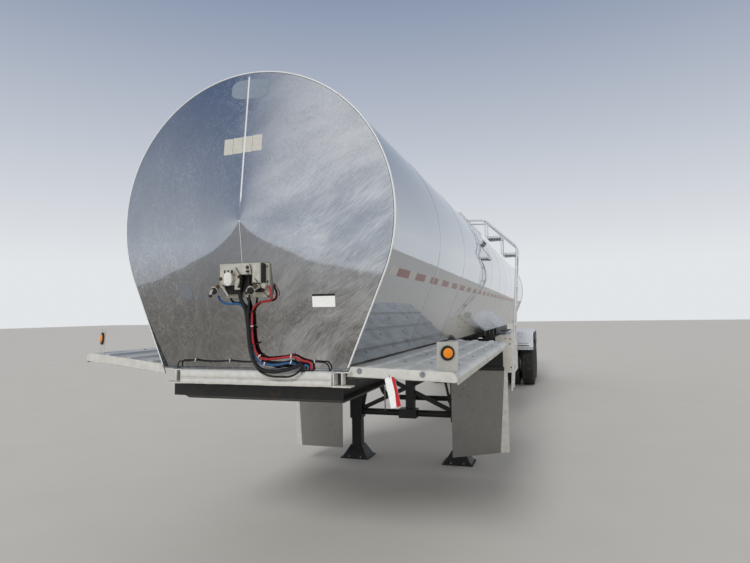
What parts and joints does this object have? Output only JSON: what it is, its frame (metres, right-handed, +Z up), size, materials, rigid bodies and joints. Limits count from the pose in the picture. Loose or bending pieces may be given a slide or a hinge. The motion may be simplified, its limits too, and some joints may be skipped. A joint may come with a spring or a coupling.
{
  "type": "tank semi-trailer",
  "caption": "Insulated stainless tank semi-trailer on its landing gear, with ribbed side decks, side ladder, manhole walkway and a twin-wheel tandem.",
  "frame": {"origin": "on the ground, under the middle of the overall box", "axes": "+X to the side that carries the ladder, +Y towards the rear axles, +Z up"},
  "size_m": [2.438, 13.29, 3.3323],
  "materials": {
    "jacket_stainless": "polished stainless sheet, scratched and hazed on the front head",
    "mill_aluminium": "mill finish, oxidised and dusty",
    "bright_aluminium": "bright sheet and tube",
    "forged_aluminium": "machined wheel discs",
    "cast_aluminium": "cast housing with a dull olive coat",
    "valve_stainless": "satin fittings",
    "black_enamel": "worn black enamel over steel",
    "cream_enamel": "sprayed cream enamel",
    "amber_lens": "moulded amber lens in a black grommet",
    "red_lens": "moulded red lens",
    "red_hose": "extruded nylon air line",
    "blue_hose": "extruded nylon air line",
    "black_sleeve": "corrugated loom sleeve",
    "spring_rubber": "moulded bellows",
    "flap_rubber": "sheet rubber",
    "tyre_rubber": "moulded tread, dusty sidewalls"
  },
  "bodies": {
    "trailer": {"tank_barrel": "jacket_stainless", "jacket_bands": "jacket_stainless", "front_head": "jacket_stainless", "rear_head": "jacket_stainless", "front_bolster": "mill_aluminium", "upper_coupler": "black_enamel", "front_frame": "black_enamel", "deck_left": "mill_aluminium", "deck_right": "mill_aluminium", "mud_panels": "mill_aluminium", "lamp_plates": "mill_aluminium", "marker_lamps": "amber_lens", "connector_box": "cast_aluminium", "air_couplings": "cast_aluminium", "air_line_red": "red_hose", "air_line_blue": "blue_hose", "wiring_loom": "black_sleeve", "landing_legs": "black_enamel", "landing_feet": "black_enamel", "landing_braces": "black_enamel", "drain_pipe": "black_enamel", "ladder": "bright_aluminium", "walkway": "bright_aluminium", "manhole_neck": "valve_stainless", "relief_vents": "valve_stainless", "side_cabinet": "cream_enamel", "rear_frame": "black_enamel", "suspension_arms": "black_enamel", "air_springs": "spring_rubber", "axles": "black_enamel", "rear_fenders": "bright_aluminium", "mud_flaps": "flap_rubber", "rear_bumper": "black_enamel", "rear_lamps": "red_lens", "outlet_valve": "valve_stainless"},
    "wheels_front_left": {"rims_front_left": "forged_aluminium", "tyres_front_left": "tyre_rubber"},
    "wheels_front_right": {"rims_front_right": "forged_aluminium", "tyres_front_right": "tyre_rubber"},
    "wheels_rear_left": {"rims_rear_left": "forged_aluminium", "tyres_rear_left": "tyre_rubber"},
    "wheels_rear_right": {"rims_rear_right": "forged_aluminium", "tyres_rear_right": "tyre_rubber"},
    "lid": {"manhole_lid": "valve_stainless"},
    "door": {"cabinet_door": "cream_enamel"}
  },
  "joints": [
    {"name": "wheels_front_left_spin", "type": "hinge", "parent": "trailer", "child": "wheels_front_left", "pos_m": [-0.9145, 4.459, 0.512], "axis": [1, 0, 0], "continuous": true},
    {"name": "wheels_front_right_spin", "type": "hinge", "parent": "trailer", "child": "wheels_front_right", "pos_m": [0.9145, 4.459, 0.512], "axis": [1, 0, 0], "continuous": true},
    {"name": "wheels_rear_left_spin", "type": "hinge", "parent": "trailer", "child": "wheels_rear_left", "pos_m": [-0.9145, 5.704, 0.512], "axis": [1, 0, 0], "continuous": true},
    {"name": "wheels_rear_right_spin", "type": "hinge", "parent": "trailer", "child": "wheels_rear_right", "pos_m": [0.9145, 5.704, 0.512], "axis": [1, 0, 0], "continuous": true},
    {"name": "manhole_lid_hinge", "type": "hinge", "parent": "trailer", "child": "lid", "pos_m": [0, 0.609, 3.294], "axis": [-1, 0, 0], "range_deg": [0, 105]},
    {"name": "cabinet_door_hinge", "type": "hinge", "parent": "trailer", "child": "door", "pos_m": [1.071, -0.075, 1.07], "axis": [0, 0, -1], "range_deg": [0, 110]}
  ]
}
